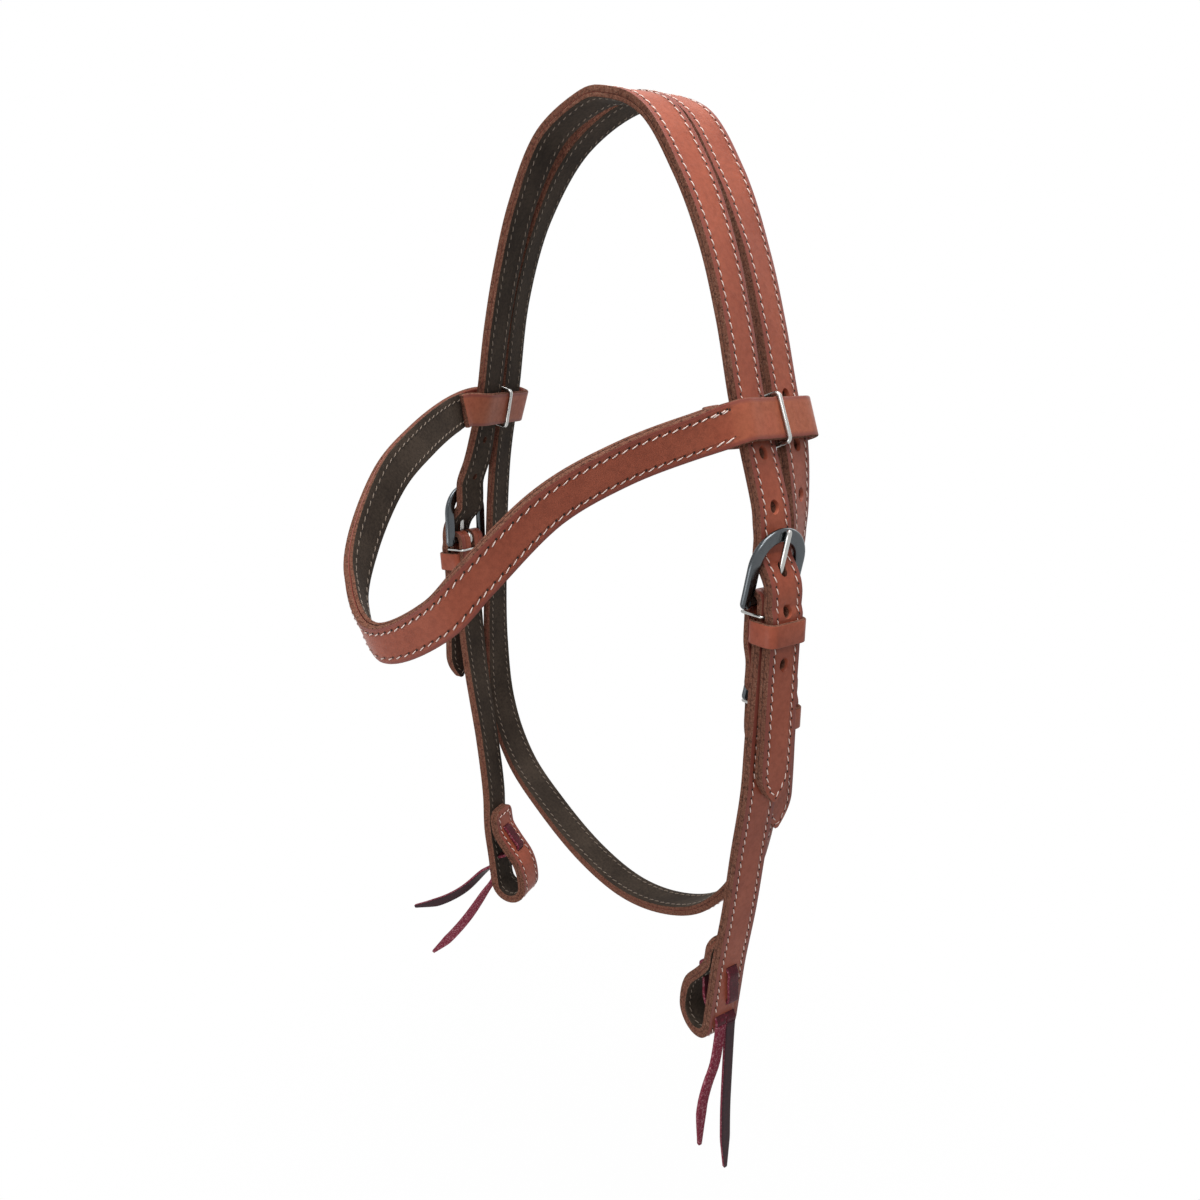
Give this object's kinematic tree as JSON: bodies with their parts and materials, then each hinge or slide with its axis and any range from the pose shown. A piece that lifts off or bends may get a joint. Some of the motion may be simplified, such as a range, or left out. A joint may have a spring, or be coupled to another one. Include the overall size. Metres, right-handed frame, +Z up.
{
  "type": "western bridle",
  "caption": "Western horse bridle headstall of lined leather straps with a browband, a buckled throatlatch, buckled cheekpieces and laced bit loops.",
  "frame": {"origin": "underside of the crown strap's lining where it rests on the poll", "axes": "+Z up, the horse faces -Y and its left side is +X"},
  "size_m": [0.2921, 0.1821, 0.5579],
  "materials": {
    "leather": "semi-gloss russet harness leather, grain side out",
    "lining": "matt dark brown leather",
    "lace": "burgundy latigo, smooth on one side and rough on the other",
    "nickel": "polished nickel plate"
  },
  "bodies": {
    "headstall": {"crown_strap": "leather", "throatlatch_strap": "leather", "left_cheek_strap": "leather", "right_cheek_strap": "leather", "left_keeper": "leather", "right_keeper": "leather", "throatlatch_keeper": "leather", "crown_lining": "lining", "throatlatch_lining": "lining", "left_cheek_lining": "lining", "right_cheek_lining": "lining", "left_tie_lace": "lace", "right_tie_lace": "lace", "left_tie_tail_rough": "lace", "left_tie_tail_smooth": "lace", "right_tie_tail_rough": "lace", "right_tie_tail_smooth": "lace", "left_turnover_staple": "nickel", "right_turnover_staple": "nickel", "throatlatch_turnover_staple": "nickel"},
    "browband": {"browband_strap": "leather", "browband_lining": "lining", "left_browband_staple": "nickel", "right_browband_staple": "nickel"},
    "left_frame": {"left_buckle_frame": "nickel"},
    "left_tongue": {"left_buckle_tongue": "nickel"},
    "right_frame": {"right_buckle_frame": "nickel"},
    "right_tongue": {"right_buckle_tongue": "nickel"},
    "throatlatch_frame": {"throatlatch_buckle_frame": "nickel"},
    "throatlatch_tongue": {"throatlatch_buckle_tongue": "nickel"}
  },
  "joints": [
    {"name": "browband_slide", "type": "slide", "parent": "headstall", "child": "browband", "axis": [0, 0, 1], "range_m": [-0.002, 0.002]},
    {"name": "left_frame_swing", "type": "hinge", "parent": "headstall", "child": "left_frame", "pos_m": [0.109, 0.0004, -0.2202], "axis": [0.1392, 0.9903, 0], "range_deg": [0, 3]},
    {"name": "left_tongue_swing", "type": "hinge", "parent": "left_frame", "child": "left_tongue", "pos_m": [0.109, 0.0004, -0.2202], "axis": [0.1392, 0.9903, 0], "range_deg": [0, 2]},
    {"name": "right_frame_swing", "type": "hinge", "parent": "headstall", "child": "right_frame", "pos_m": [-0.12, -0.0035, -0.2254], "axis": [0.2079, -0.9781, 0], "range_deg": [0, 3]},
    {"name": "right_tongue_swing", "type": "hinge", "parent": "right_frame", "child": "right_tongue", "pos_m": [-0.12, -0.0035, -0.2254], "axis": [0.2079, -0.9781, 0], "range_deg": [0, 2]},
    {"name": "throatlatch_frame_swing", "type": "hinge", "parent": "headstall", "child": "throatlatch_frame", "pos_m": [0.0955, 0.0215, -0.2724], "axis": [0.0872, 0.9962, 0], "range_deg": [0, 3]},
    {"name": "throatlatch_tongue_swing", "type": "hinge", "parent": "throatlatch_frame", "child": "throatlatch_tongue", "pos_m": [0.0955, 0.0215, -0.2724], "axis": [0.0872, 0.9962, 0], "range_deg": [0, 2]}
  ]
}
